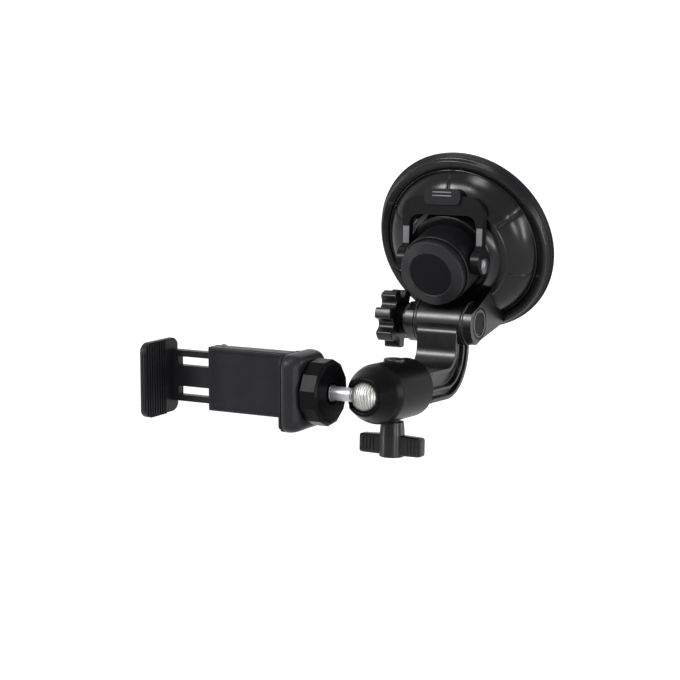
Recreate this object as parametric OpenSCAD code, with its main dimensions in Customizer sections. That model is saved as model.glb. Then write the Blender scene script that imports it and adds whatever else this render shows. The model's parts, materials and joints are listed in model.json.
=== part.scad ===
// Suction cup phone holder: lever cup, tilting arm, ball joint and sprung side clip.
// The frame stands on the glass: its origin is the middle of the membrane's glass face.
// X runs along every cross pin, -Y faces the user, +Z is up.

/* [Suction cup] */
// Lean of the cup's axis below level, in degrees
cup_lean = 18; // [10:1:26]
// Radius of the membrane on the glass
membrane_r = 45.4; // [44.8:0.2:47]
// Thickness of the membrane's lip on the glass
membrane_lip = 0.8; // [0.6:0.1:1.2]
// Height of the membrane's rim
membrane_h = 2.6; // [2.4:0.1:3]
// Thickness of the membrane's middle
membrane_web = 1.8; // [1.4:0.1:2.1]
// Height of the cover's outer ring above the membrane
ring_h = 3.1; // [2.6:0.1:3.6]
// Wall of the cover
cover_wall = 2.4; // [1.8:0.1:2.8]
// Width of the ring between the rim's bevel and the foot of the dome
ring_w = 5.8; // [5:0.2:7]
// Radius of the edge line at the top of the dome
dome_top_r = 27.2; // [26:0.2:28]
// Height of that edge line above the glass
dome_top_h = 14.4; // [13.4:0.2:15]
// Outward swell of the dome between its foot and its top
dome_swell = 1.5; // [0.8:0.1:2]
// Width and depth of the grooves across the dome
dome_groove = 0.9; // [0.6:0.1:1.2]

/* [Hub] */
// Radius of the hub
hub_r = 16.9; // [16.4:0.1:17.4]
// Height of the flat that the lever's cams bear on
ledge_h = 20.2; // [19.8:0.1:20.6]
// Length of the hub's tube above that flat
hub_len = 15; // [14.4:0.2:15.4]
// Radius of the cap
cap_r = 15.8; // [15:0.1:16.2]
// Height of the cap's straight wall
cap_wall_h = 4.9; // [4.4:0.1:5.4]
// Height of the cap's chamfer
cap_chamfer_h = 1.4; // [1:0.1:1.8]
// Radius of the cap's flat face
cap_face_r = 10.8; // [9.6:0.2:12]

/* [Plunger and lever] */
// Radius of the plunger's post
plunger_r = 8; // [7:0.2:8.4]
// Travel of the plunger
plunger_travel = 3; // [2.4:0.1:3.2]
// Height of the lever's pin above the hub's flat
pin_rise = 7.5; // [7.3:0.1:7.7]
// Radius of the lever's pin
pin_r = 2; // [1.6:0.1:2.2]
// Slope of the locked lever towards the glass, in degrees
lever_slope = 21; // [19:0.5:22]
// Width of each lever arm
lever_arm_w = 3.7; // [3.2:0.1:4]
// Thickness of the lever
lever_t = 4.2; // [3.8:0.1:4.6]
// Distance from the pin to the inside of the crosspiece
lever_reach = 22.8; // [22.6:0.2:24]
// Width of the crosspiece along the lever
lever_bar_w = 8.8; // [7:0.2:9.2]
// Width and length of the soft grip on the finger tab
tab_size = [18.6, 7.4]; // [6:0.2:22]

/* [Hinge] */
// Place of the hinge below the cup's axis
hinge_drop = 28.4; // [28:0.2:29.4]
// Height of the hinge above the glass
hinge_h = 31.4; // [31:0.2:32.4]
// Radius of the arm's barrel
barrel_r = 10.5; // [10:0.1:10.7]
// Half of the barrel's width
barrel_half = 13; // [12:0.1:13.4]
// Thickness of each fork ear
ear_t = 4.1; // [3.8:0.1:4.6]
// Half of an ear's height at the hinge
ear_half = 8; // [7.4:0.1:8.6]
// Radius of the hinge bolt
bolt_r = 3; // [2.5:0.1:3.2]
// Width of the hinge nut across its flats
nut_flats = 10; // [9:0.5:10.5]
// Outer radius of the hinge knob
knob_r = 14.2; // [13:0.2:15]
// Thickness of the knob's lobed head
knob_head = 8.2; // [7:0.2:9]
// Number of lobes on the knob
knob_lobes = 7; // [5:1:8]

/* [Arm] */
// Pitch of the arm, nose up, in degrees
arm_pitch = 2.5; // [0:0.5:5]
// Half of the arm's width
arm_half = 10.4; // [9.6:0.1:11]
// Thickness of the arm's channel
arm_t = 14.6; // [14:0.1:15]
// Distance from the hinge down to the top of the arm's foot
arm_drop = 19.8; // [19.6:0.2:20.6]
// Inner radius of the arm's bend
bend_r = 8; // [6.5:0.5:9]
// Length of the arm's foot in front of the hinge
foot_len = 40.5; // [40:0.5:43]
// Depth of the grooves in the arm's sides
side_groove = 2.6; // [1.6:0.2:3.2]

/* [Ball joint] */
// Radius of the ball
ball_r = 7.2; // [7:0.1:7.4]
// Radius of the housing
housing_r = 13.6; // [13.2:0.1:14]
// Length of the housing behind the ball's centre
housing_back = 38.7; // [38:0.2:40]
// Radius of the mouth in front of the ball
mouth_r = 6.4; // [6.2:0.1:6.5]
// Width of the side slot for the stem
slot_w = 10.6; // [10:0.2:11]
// Radius of the stem
stem_r = 3.1; // [2.9:0.1:3.2]
// Distance of the clamp screw behind the ball
clamp_back = 24.8; // [24.6:0.1:25.4]
// Radius of the clamp screw
clamp_r = 3; // [2.8:0.1:3.2]
// Length, thickness and height of the wing on the clamp knob
wing_size = [31.4, 4.8, 9.6]; // [4:0.2:36]

/* [Lock nut] */
// Radius over the corners of the lock nut
lock_r = 15; // [14:0.5:16]
// Thickness of the lock nut
lock_t = 8.7; // [7.8:0.1:9.2]
// Distance from the ball to the nut's open face
lock_x = 17.6; // [17.4:0.2:18.4]

/* [Clip] */
// Width between the pads as photographed
grip_w = 70.6; // [62:0.2:78]
// Height of the jaws
jaw_h = 35; // [32:0.5:37]
// Reach of the jaws in front of the stem's axis
jaw_front = 15.9; // [14:0.1:18]
// Depth of the clip behind the stem's axis
clip_back = 13.2; // [12.8:0.1:13.6]
// Thickness of the fixed jaw's block
block_t = 7.9; // [7.4:0.1:8.6]
// Thickness of the jaw pads
pad_t = 1.3; // [1.1:0.1:1.8]
// Thickness of the sliding jaw's wall
jaw_wall = 1.9; // [1.7:0.1:3]
// Length of the clip's body beside the fixed jaw
tube_len = 50; // [48:1:52]
// Height of the clip's body
tube_h = 30; // [28:0.5:32]
// Thickness of the sliding tongue
tongue_t = 4; // [3.4:0.2:4.4]
// Length of the sliding tongue beside the sliding jaw
tongue_len = 54; // [53:1:55]
// Outer radius and wire radius of the clip springs
spring_size = [1.7, 0.35]; // [0.3:0.05:1.9]

/* [Hidden] */
$fn = 72;

// Clearances and overruns
run = 0.05;
slide = 0.15;
seat_gap = 0.1;
cut = 1;

// Cup profile
ring_top_h = membrane_h + ring_h;
lip_step = 0.9;
ring_in = 4.4;
rim_set = 1.4;
ring_out_r = membrane_r - rim_set;
dome_foot_r = ring_out_r - ring_w;
ring_bevel = 1.3;
ring_sink = 0.9;
edge_step = 0.5;
ledge_w = 3.7;
ledge_r = hub_r + ledge_w;
shoulder_w = 2.6;
shoulder_r = ledge_r + shoulder_w;
shoulder_h = 15.4;
insert_r = 10.8;
insert_t = 1.8;
insert_floor = 1.4;
insert_h = insert_floor + plunger_travel + 0.2 * insert_t;
insert_top = insert_h + insert_t;
dome_steps = 14;
groove_angles = [-20, 30, 90, 150, 200];
bond_r = 2.6;

// Hub and plunger
hub_wall = 3;
hub_floor = 2.4;
hub_bore_r = plunger_r + slide;
spring_pitch_count = 4;
spring_wire = 0.6;
collar_t = 1.7;
plunger_over = 2;
hub_top_h = ledge_h + hub_len;
pin_h = ledge_h + pin_rise;
plunger_top = pin_h + pin_r + plunger_over;
pin_slot = pin_r + slide;
screw_r = 1.5;
screw_head_r = 2.6;
screw_head_t = 1.6;
hub_screw_ring = 13.7;
fork_boss_h = 6.4;
fork_screw_in = 9.8;
fork_screw_drop = dome_foot_r - fork_screw_in;
fork_screw_len = 10.4;

// Lever
lever_gap = 0.25;
lever_inner = hub_r + lever_gap;
lever_outer = lever_inner + lever_arm_w;
boss_rise = 0.5;
boss_out = lever_outer + boss_rise;
rivet_head = 1.5;
rivet_r = 3.9;
lever_corner = 8;
lever_inner_corner = 5;
lever_above = 0.43;
lever_room = 0.5;
facet_lean = 6;
tab_rise = 1.1;
tab_corner = 2.8;
tab_over = 4;
tab_low = lever_reach + lever_bar_w - tab_over;
cam_turn = 95;
cam_rise = 160;
cam_steps = 20;
cam_r = pin_h - ledge_h - 2 * run;
cam_step = plunger_travel * 180 / PI / cam_turn;
cam_top = norm([cam_step, cam_r]);
cam_past = 1;
cam_lock = atan(cam_step / cam_r) + cam_past;
facet_cut = 0.8;
grip_ribs = 2;

// Hinge
nose_r = barrel_r;
ear_taper = 0.12;
ear_in = barrel_half + run;
ear_out = ear_in + ear_t;
ear_low = hinge_h - ring_top_h + 1.5 * ring_sink;
fork_block_gap = 0.7;
washer_t = 1.3;
washers = [8.6, 7.4];
knob_hub_r = 6.8;
knob_hub_t = 3.7;
knob_notch_r = 4.4;
knob_turn = -14;
bushing_wall = 1.2;
bushing_flange = 1.0;
nut_t = 3;
nut_recess = 0.4;
nut_recess_r = 6.9;
knob_in = ear_out + 2 * washer_t;
bolt_head_r = 4.8;
bolt_head_t = 2.6;
hinge_y = -hinge_h * cos(cup_lean) + hinge_drop * sin(cup_lean);
hinge_z = -hinge_h * sin(cup_lean) - hinge_drop * cos(cup_lean);

// Arm
arm_lead = 0.4;
front_y = -barrel_r - arm_lead;
flange_t = 1.8;
rib_share = 0.62;
rib_t = 1.3;
axis_drop = arm_drop + arm_t / 2;
spigot_len = 9;
bore_r = ball_r + seat_gap;
ball_y = -foot_len - housing_back;

// Ball joint
nose_z = 3.6;
face_r = 8.8;
nose_len = 10;
nose_steps = 10;
nose_swell = 0.5;
mouth_bevel = 0.5;
rear_chamfer = 0.8;
seat_front = 4.5;
seat_len = clamp_back - seat_front - clamp_r;
neck_hub_r = 5.7;
knob_gap = 0.3;
wing_drop = 6.1;
wing_corner = 1;
wing_ribs = 3;
wing_rib_w = 1.2;
wing_rib_set = 2;
wing_rib_pitch = 2.6;
hub_foot = 0.9;
plug_r = 4.7;
plug_rise = 1;
plug_sink = 3;
plug_shaft_r = 3.6;
grub_r = 2;
grub_len = 5;
clamp_tip = 0.6;

// Stem and lock nut
stem_collar_r = 3.6;
thread_r = 3.15;
lock_recess_r = 5.2;
lock_recess = 1.8;
lock_chamfer = 0.9;
lock_turn = 9;
lock_washer_t = 0.8;
washer_r = 11.5;

// Clip
block_out = -lock_x - lock_t - lock_washer_t;
pad_in = block_out - block_t;
grip_x = pad_in - pad_t;
slide_x = grip_x - grip_w;
tip_t = 1.4;
front_corner = 5.6;
back_corner = 4;
side_corner = 5.5;
grip_back = 3.75;
grip_slack = 0.25;
back_pad_t = 1.3;
tube_front = grip_back + grip_slack + back_pad_t;
cover_t = 1.5;
tube_wall = 1.6;
tongue_y = tube_front + tube_wall + slide;
tongue_end = slide_x + tongue_len;
tongue_edge = 3;
tongue_h = tube_h - 2 * tongue_edge;
tongue_land = 4;
insert_len = 6.4;
insert_out_r = 4.8;
spring_z = 7;
spring_room = 0.8;
spring_slot_w = 2 * spring_size[0] + spring_room;
spring_post = 2.4;
spring_post_set = 1.2;
spring_post_x = grip_x - tube_len + spring_post_set;
spring_seat_x = tongue_end - tongue_land;
spring_curls = 12;
spring_sides = 6;
spring_rings = 8;
pad_ribs = 9;
rib_h = 0.5;
pad_margin = 2.2;
clip_screw_r = 1.1;
clip_screw_head = 2;
clip_screw_in = 3.1;
clip_screw_set = 4;

function ball_wy() = hinge_y + ball_y * cos(arm_pitch) - axis_drop * sin(arm_pitch);
function ball_wz() = hinge_z - ball_y * sin(arm_pitch) - axis_drop * cos(arm_pitch);

// Frames
module in_cup() {
    rotate([90 + cup_lean, 0, 0]) children();
}

module at_pin() {
    in_cup() translate([0, 0, pin_h]) children();
}

module in_lever() {
    at_pin() rotate([-lever_slope, 0, 0]) children();
}

module in_arm() {
    translate([0, hinge_y, hinge_z]) rotate([-arm_pitch, 0, 0]) children();
}

// Looks along the housing: local z runs forward from the ball's centre
module in_housing() {
    in_arm() translate([0, ball_y, -axis_drop]) rotate([90, 0, 0]) children();
}

// Local z runs down the clamp screw from the housing's axis
module on_clamp() {
    in_housing() translate([0, 0, -clamp_back]) rotate([90, 0, 0]) children();
}

module at_clip() {
    translate([0, ball_wy(), ball_wz()]) children();
}

// Local z runs outward along the stem, which is -X
module on_stem() {
    at_clip() rotate([0, -90, 0]) children();
}

// Extrudes an outline in Y and Z from x0 to x1
module prism_x(x0, x1) {
    translate([x0, 0, 0]) rotate([90, 0, 90]) linear_extrude(x1 - x0) children();
}

module both_sides() {
    children();
    mirror([1, 0, 0]) children();
}

module block(low, high) {
    translate(low) cube(high - low);
}

module rounded(low, high, r) {
    translate([low[0] + r, low[1]]) square([high[0] - low[0] - 2 * r, high[1] - low[1]]);
    translate([low[0], low[1] + r]) square([high[0] - low[0], high[1] - low[1] - 2 * r]);
    for (x = [low[0] + r, high[0] - r])
        for (y = [low[1] + r, high[1] - r])
            translate([x, y]) circle(r);
}

// Suction cup
function dome_point(t, shrink) =
    let (foot = [dome_foot_r, ring_top_h - ring_sink], top = [dome_top_r, dome_top_h],
        run_by = top - foot, out = [run_by[1], -run_by[0]] / norm(run_by))
    foot + t * run_by + (dome_swell * sin(180 * t) - shrink) * out;

function dome_line(shrink) = [for (i = [0:dome_steps]) dome_point(i / dome_steps, shrink)];

function cover_outside() = concat(
    [[0, 0], [ring_out_r, 0], [ring_out_r, membrane_h + ring_bevel],
        [ring_out_r - ring_bevel / 2, membrane_h + ring_bevel * 1.3],
        [ring_out_r - ring_bevel / 2, ring_top_h - ring_bevel / 2],
        [ring_out_r - ring_bevel, ring_top_h],
        [dome_foot_r + ring_sink, ring_top_h]],
    dome_line(0),
    [[dome_top_r - edge_step, dome_top_h + edge_step], [shoulder_r, shoulder_h],
        [ledge_r + edge_step, ledge_h - 2 * edge_step], [ledge_r, ledge_h], [0, ledge_h]]);

function cover_inside() = concat(
    [[0, 0], [ring_out_r - ring_in, 0]],
    [[dome_foot_r, membrane_h]],
    dome_line(cover_wall),
    [[dome_top_r - cover_wall, dome_top_h - cover_wall * 0.6],
        [shoulder_r - cover_wall, shoulder_h - cover_wall],
        [ledge_r - cover_wall, ledge_h - cover_wall], [0, ledge_h - cover_wall]]);

module cover_envelope() {
    rotate_extrude() polygon(cover_outside());
}

module suction_membrane() {
    color([0.06, 0.06, 0.065]) in_cup() rotate_extrude() polygon([
        [0, 0], [membrane_r, 0], [membrane_r, membrane_lip],
        [membrane_r - lip_step, membrane_lip + lip_step / 2],
        [membrane_r - lip_step, membrane_h - lip_step / 2],
        [membrane_r - lip_step * 1.4, membrane_h],
        [ring_out_r - ring_in, membrane_h],
        [ring_out_r - ring_in - lip_step, membrane_web],
        [insert_r + bond_r, membrane_web], [insert_r + bond_r, insert_h],
        [insert_r + seat_gap, insert_h], [insert_r + seat_gap, insert_floor], [0, insert_floor]]);
}

module membrane_insert() {
    color([0.6, 0.6, 0.62]) in_cup() {
        translate([0, 0, insert_h]) cylinder(h = insert_t, r = insert_r);
    }
}

module cup_cover() {
    color([0.05, 0.05, 0.055]) in_cup() difference() {
        union() {
            difference() {
                intersection() {
                    cover_envelope();
                    translate([0, 0, membrane_h]) cylinder(h = ledge_h, r = membrane_r);
                }
                rotate_extrude() polygon(cover_inside());
            }
            intersection() {
                cover_envelope();
                fork_screw_places() translate([0, 0, fork_boss_h])
                    cylinder(h = ledge_h, r = screw_head_r + cover_wall / 2);
            }
        }
        cylinder(h = ledge_h + cut, r = hub_bore_r);
        for (a = groove_angles) rotate([0, 0, a]) dome_slit();
        hub_screw_places() cylinder(h = ledge_h + cut, r = screw_r + run);
        fork_screw_places() cylinder(h = ledge_h, r = screw_r + run);
    }
}

// A shallow groove that follows the dome from the ring to the edge line
module dome_slit() {
    translate([0, dome_groove / 2, 0]) rotate([90, 0, 0]) linear_extrude(dome_groove)
        polygon(concat(
            [[dome_foot_r + ring_in, ring_top_h + cut],
                [dome_foot_r + ring_in, ring_top_h - dome_groove / 2]],
            [for (i = [0:dome_steps]) dome_point(i / dome_steps, dome_groove * 0.7)],
            [[dome_top_r, dome_top_h + ring_in]]));
}

module hub_screw_places() {
    for (a = [45:90:315]) rotate([0, 0, a]) translate([hub_screw_ring, 0, 0]) children();
}

module hub_tower() {
    color([0.045, 0.045, 0.05]) in_cup() difference() {
        translate([0, 0, ledge_h]) cylinder(h = hub_top_h - ledge_h, r = hub_r);
        translate([0, 0, ledge_h - cut]) cylinder(h = hub_top_h, r = hub_bore_r);
        translate([0, 0, hub_top_h - collar_t]) cylinder(h = collar_t + cut, r = cap_r - hub_wall);
        prism_x(-hub_r - cut, hub_r + cut) pin_window();
        hub_screw_places() translate([0, 0, ledge_h - cut])
            cylinder(h = cut + screw_head_r * 2, r = screw_r);
    }
}

// The slot that the pin rides in, long enough for the plunger's travel
module pin_window() {
    translate([0, pin_h]) circle(pin_slot);
    translate([0, pin_h - plunger_travel]) circle(pin_slot);
    translate([-pin_slot, pin_h - plunger_travel]) square([2 * pin_slot, plunger_travel]);
}

module hub_screws() {
    color([0.5, 0.5, 0.52]) in_cup() hub_screw_places() {
        translate([0, 0, ledge_h - cover_wall - screw_head_t]) cylinder(h = screw_head_t, r = screw_head_r);
        translate([0, 0, ledge_h - cover_wall])
            cylinder(h = cover_wall + screw_head_r * 2 - run, r = screw_r);
    }
}

module hub_cap() {
    color([0.1, 0.1, 0.105]) in_cup() translate([0, 0, hub_top_h]) rotate_extrude() polygon([
        [0, 0], [cap_r, 0], [cap_r, cap_wall_h], [cap_face_r, cap_wall_h + cap_chamfer_h],
        [cap_face_r - cap_chamfer_h * 0.3, cap_wall_h + cap_chamfer_h * 0.7],
        [0, cap_wall_h + cap_chamfer_h * 0.7]]);
    color([0.1, 0.1, 0.105]) in_cup() translate([0, 0, hub_top_h - collar_t])
        cylinder(h = collar_t, r = cap_r - hub_wall - run);
}

// A round wire wound as one tube, drawn along local z
module coil(r, wire, length, curls) {
    count = curls * spring_rings;
    rings = [for (i = [0:count])
        let (turn = 360 * i / spring_rings, z = wire + (length - 2 * wire) * i / count)
        [for (k = [0:spring_sides - 1])
            let (a = 360 * k / spring_sides, out = r - wire + wire * cos(a))
            [out * cos(turn), out * sin(turn), z + wire * sin(a)]]];
    points = [for (ring = rings) for (p = ring) p];
    last = count * spring_sides;
    walls = [for (i = [0:count - 1]) for (k = [0:spring_sides - 1])
        let (a = i * spring_sides + k, b = i * spring_sides + (k + 1) % spring_sides)
        [[a, b, a + spring_sides], [b, b + spring_sides, a + spring_sides]]];
    polyhedron(
        points,
        concat(
            [for (pair = walls) for (f = pair) f],
            [[for (k = [spring_sides - 1:-1:0]) k]],
            [[for (k = [0:spring_sides - 1]) last + k]]));
    apart = min([for (i = [0:count - spring_rings]) norm(rings[i + spring_rings][0] - rings[i][0])]);
    echo(least_gap = apart - 2 * wire);
}

module release_spring() {
    color([0.7, 0.7, 0.72]) in_cup() translate([0, 0, insert_top + seat_gap])
        coil(insert_r - seat_gap, spring_wire, ledge_h - cover_wall - insert_top - 2 * seat_gap,
            spring_pitch_count);
}

module plunger_stem() {
    color([0.3, 0.3, 0.32]) in_cup() difference() {
        translate([0, 0, insert_top]) cylinder(h = plunger_top - insert_top, r = plunger_r);
        prism_x(-plunger_r - cut, plunger_r + cut) translate([0, pin_h]) circle(pin_r);
    }
}

module lever_pin() {
    color([0.75, 0.75, 0.77]) at_pin() {
        prism_x(-boss_out, boss_out) circle(pin_r);
        both_sides() translate([boss_out, 0, 0]) rotate([0, 90, 0]) rotate_extrude() polygon(concat(
            [[0, 0], [rivet_r, 0]],
            [for (a = [0:15:90]) [rivet_r * cos(a), rivet_head * (0.2 + 0.8 * sin(a))]]));
    }
}

// A point of the cam whose face towards the ledge, after a turn of a, lies reach from the pin
function cam_point(a, reach, slope) = reach * [-sin(a), -cos(a)] + slope * [-cos(a), sin(a)];

function cam_fall(a) = cam_point(a, cam_r - plunger_travel * a / cam_turn, -cam_step);

function cam_back(a) =
    let (part = min(180, 180 * (a - cam_turn) / cam_rise), rise = cam_top - cam_r + plunger_travel)
    cam_point(a, cam_top - rise * (1 + cos(part)) / 2, rise * sin(part) * 90 / cam_rise);

// Falls evenly by the plunger's travel over the lever's turn, then rises again behind the arm
module cam_outline() {
    polygon(concat(
        [for (i = [0:cam_steps]) cam_fall(cam_turn * i / cam_steps)],
        [for (i = [0:2 * cam_steps])
            cam_back(cam_turn + (360 - cam_turn - cam_lock) * i / cam_steps / 2)]));
}

module lever_plan() {
    difference() {
        rounded([-lever_outer, -cam_r], [lever_outer, lever_reach + lever_bar_w], lever_corner);
        translate([0, -cam_r * 2])
            rounded([-lever_inner - run, -cam_r], [lever_inner + run, lever_reach + cam_r * 2],
                lever_inner_corner);
        translate([-lever_outer - cut, -cam_r - cut]) square([2 * lever_outer + 2 * cut, 1.5 * cam_r + cut]);
    }
}

module suction_lever() {
    color([0.07, 0.07, 0.075]) difference() {
        union() {
            difference() {
                in_lever() difference() {
                    translate([0, 0, -lever_t * (1 - lever_above)]) linear_extrude(lever_t) {
                        lever_plan();
                        tab_plan(0);
                    }
                    tab_bed();
                    both_sides()
                        translate([lever_inner - cut, lever_reach * 0.38, lever_t * lever_above - facet_cut])
                        rotate([0, -facet_lean, 0])
                        cube([lever_arm_w + 2 * cut, lever_reach * 0.38, lever_t]);
                }
                in_cup() ledge_room();
            }
            at_pin() both_sides() prism_x(lever_inner, boss_out) cam_outline();
        }
        at_pin() prism_x(-boss_out - cut, boss_out + cut) circle(pin_r + run);
    }
}

// Keeps the crosspiece's underside clear of the ledge and its shoulder
module ledge_room() {
    rotate_extrude() polygon([
        [0, membrane_h], [shoulder_r + lever_room, membrane_h], [shoulder_r + lever_room, shoulder_h],
        [ledge_r + edge_step + lever_room, ledge_h - edge_step], [ledge_r + lever_room, ledge_h + lever_room],
        [0, ledge_h + lever_room]]);
}

// The finger tab, which reaches over the crosspiece and past it
module tab_plan(grow) {
    rounded([-tab_size[0] / 2 - grow, tab_low - grow],
        [tab_size[0] / 2 + grow, tab_low + tab_size[1] + grow], tab_corner + grow);
}

// The space that the soft grip fills on the tab
module tab_bed() {
    translate([0, 0, lever_t * lever_above - tab_rise / 2]) linear_extrude(tab_rise) tab_plan(run);
}

module lever_grip() {
    color([0.13, 0.13, 0.135]) in_lever() translate([0, 0, lever_t * lever_above - tab_rise / 2]) {
        linear_extrude(tab_rise * 1.5) tab_plan(0);
        for (i = [1:grip_ribs])
            translate([-tab_size[0] / 4, tab_low + tab_size[1] * (0.38 + 0.22 * i) - rib_h, tab_rise * 1.5])
                cube([tab_size[0] / 2, rib_h, rib_h]);
    }
}

// Hinge fork
module ear_outline() {
    translate([-hinge_drop, hinge_h]) polygon([
        [-ear_half, nose_r], [-ear_half, 0], [-ear_half - ear_taper * ear_low, -ear_low],
        [ear_half + ear_taper * ear_low, -ear_low], [ear_half, 0], [ear_half, nose_r]]);
}

// What the ears' round noses leave off above the hinge
module nose_waste(x0, x1) {
    difference() {
        prism_x(x0, x1) translate([-hinge_drop - 2 * nose_r, hinge_h]) square([4 * nose_r, 2 * nose_r]);
        prism_x(x0 - cut, x1 + cut) translate([-hinge_drop, hinge_h]) circle(nose_r);
    }
}

module fork_screw_places() {
    for (x = [-1, 1]) translate([x * barrel_half * 0.6, -fork_screw_drop, 0]) children();
}

module hinge_fork() {
    color([0.05, 0.05, 0.055]) in_cup() difference() {
        union() {
            both_sides() prism_x(ear_in, ear_out) ear_outline();
            difference() {
                prism_x(-ear_in, ear_in) ear_outline();
                prism_x(-ear_out, ear_out)
                    translate([-hinge_drop - 2 * nose_r, hinge_h - barrel_r - fork_block_gap])
                    square([4 * nose_r, 4 * nose_r]);
            }
        }
        nose_waste(-ear_out - cut, ear_out + cut);
        cover_envelope();
        prism_x(-ear_out - cut, ear_out + cut) translate([-hinge_drop, hinge_h]) circle(bolt_r + run);
        prism_x(ear_out - nut_recess, ear_out + cut) translate([-hinge_drop, hinge_h]) circle(nut_recess_r);
        prism_x(ear_out - nut_recess - nut_t, ear_out + cut)
            translate([-hinge_drop, hinge_h]) circle(nut_flats / sqrt(3), $fn = 6);
        fork_screw_places() cylinder(h = fork_boss_h + fork_screw_len + run, r = screw_r);
    }
}

module fork_screws() {
    color([0.5, 0.5, 0.52]) in_cup() fork_screw_places() {
        translate([0, 0, fork_boss_h - screw_head_t]) cylinder(h = screw_head_t, r = screw_head_r);
        translate([0, 0, fork_boss_h]) cylinder(h = fork_screw_len, r = screw_r);
    }
}

module hinge_nut() {
    color([0.55, 0.55, 0.57]) in_cup() prism_x(ear_out - nut_recess - nut_t, ear_out - nut_recess)
        translate([-hinge_drop, hinge_h]) difference() {
            circle(nut_flats / sqrt(3), $fn = 6);
            circle(bolt_r + run);
        }
}

// Arm
module corner_block(t) {
    y = front_y + t;
    z = -arm_drop - t;
    r = bend_r + t;
    difference() {
        translate([-foot_len, z]) square([foot_len + y, -z]);
        difference() {
            translate([y - r, z - cut]) square([r + cut, r + cut]);
            translate([y - r, z + r]) circle(r);
        }
    }
}

module arm_band(t0, t1) {
    difference() {
        corner_block(t1);
        corner_block(t0);
    }
}

module swivel_arm() {
    color([0.06, 0.06, 0.065]) difference() {
        in_arm() arm_form();
        grub_place() cylinder(h = housing_r, r = grub_r);
    }
}

module arm_form() {
    difference() {
        union() {
            prism_x(-barrel_half, barrel_half) circle(barrel_r);
            prism_x(-arm_half + side_groove, arm_half - side_groove) arm_band(0, arm_t);
            both_sides() prism_x(arm_half - side_groove - cut, arm_half) {
                arm_band(0, flange_t);
                arm_band(arm_t * rib_share - rib_t / 2, arm_t * rib_share + rib_t / 2);
                arm_band(arm_t - flange_t, arm_t);
            }
            translate([0, cut - foot_len, -axis_drop]) rotate([90, 0, 0])
                cylinder(h = spigot_len + cut, r = bore_r - run);
        }
        both_sides() {
            prism_x(-cut, barrel_half + cut) circle(bolt_r + bushing_wall);
            prism_x(barrel_half - bushing_flange, barrel_half + cut) circle(bolt_r + 2 * bushing_wall);
        }
    }
}

module barrel_bushings() {
    color([0.7, 0.68, 0.6]) in_arm() both_sides() difference() {
        union() {
            prism_x(barrel_half * 0.3, barrel_half) circle(bolt_r + bushing_wall);
            prism_x(barrel_half - bushing_flange, barrel_half) circle(bolt_r + 2 * bushing_wall);
        }
        prism_x(0, barrel_half + cut) circle(bolt_r + run);
    }
}

module thrust_washers() {
    color([0.35, 0.35, 0.36]) in_cup() for (i = [0, 1])
        prism_x(-ear_out - (i + 1) * washer_t, -ear_out - i * washer_t)
            translate([-hinge_drop, hinge_h]) difference() {
                circle(washers[i]);
                circle(bolt_r + run);
            }
}

module knob_outline() {
    difference() {
        circle(knob_r);
        for (i = [0:knob_lobes - 1])
            rotate(360 * i / knob_lobes + knob_turn)
                translate([knob_r + knob_notch_r * 0.2, 0]) circle(knob_notch_r);
    }
}

module hinge_knob() {
    color([0.05, 0.05, 0.055]) in_arm() difference() {
        union() {
            prism_x(-knob_in - knob_hub_t, -knob_in) circle(knob_hub_r);
            prism_x(-knob_in - knob_hub_t - knob_head, -knob_in - knob_hub_t) knob_outline();
        }
        prism_x(-knob_in - knob_hub_t - knob_head - cut, 0) circle(bolt_r);
        prism_x(-knob_in - knob_hub_t - knob_head - cut, -knob_in - knob_hub_t - knob_head + bolt_head_t)
            circle(bolt_head_r, $fn = 6);
    }
}

module hinge_bolt() {
    color([0.6, 0.6, 0.62]) in_arm() {
        prism_x(-knob_in - knob_hub_t - knob_head + bolt_head_t, ear_out - nut_recess) circle(bolt_r);
        prism_x(-knob_in - knob_hub_t - knob_head, -knob_in - knob_hub_t - knob_head + bolt_head_t)
            circle(bolt_head_r, $fn = 6);
    }
}

// Ball housing
module ball_housing() {
    color([0.055, 0.055, 0.06]) difference() {
        in_housing() difference() {
            rotate_extrude() polygon(concat(
                [[0, -housing_back], [housing_r - rear_chamfer, -housing_back],
                    [housing_r, rear_chamfer - housing_back]],
                [for (i = [nose_steps:-1:0]) let (t = i / nose_steps)
                    [face_r + (housing_r - face_r) * t + nose_swell * sin(180 * t),
                        nose_z - nose_len * t + nose_swell * sin(180 * t)]],
                [[mouth_r + mouth_bevel, nose_z], [0, nose_z]]));
            sphere(ball_r + run);
            translate([0, 0, -housing_back - cut]) cylinder(h = housing_back + cut, r = bore_r);
            cylinder(h = nose_z + cut, r = mouth_r);
            translate([0, 0, nose_z - mouth_bevel])
                cylinder(h = mouth_bevel, r1 = mouth_r, r2 = mouth_r + mouth_bevel);
            rotate([0, -90, 0]) cylinder(h = housing_r + cut, r = slot_w / 2);
            translate([-housing_r - cut, -slot_w / 2, 0]) cube([housing_r + cut, slot_w, nose_z + cut]);
        }
        on_clamp() {
            cylinder(h = housing_r + cut, r = clamp_r + run);
            translate([0, 0, -housing_r - cut]) cylinder(h = housing_r + cut, r = plug_shaft_r);
        }
        grub_place() cylinder(h = housing_r + cut, r = grub_r);
    }
}

// The grub screw's axis, through the housing's rear from below into the spigot
module grub_place() {
    in_housing() translate([0, 0, spigot_len / 2 - housing_back]) rotate([90, 0, 0])
        translate([0, 0, bore_r - grub_len / 2]) children();
}

module grub_screw() {
    color([0.4, 0.4, 0.42]) grub_place() cylinder(h = grub_len, r = grub_r);
}

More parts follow.
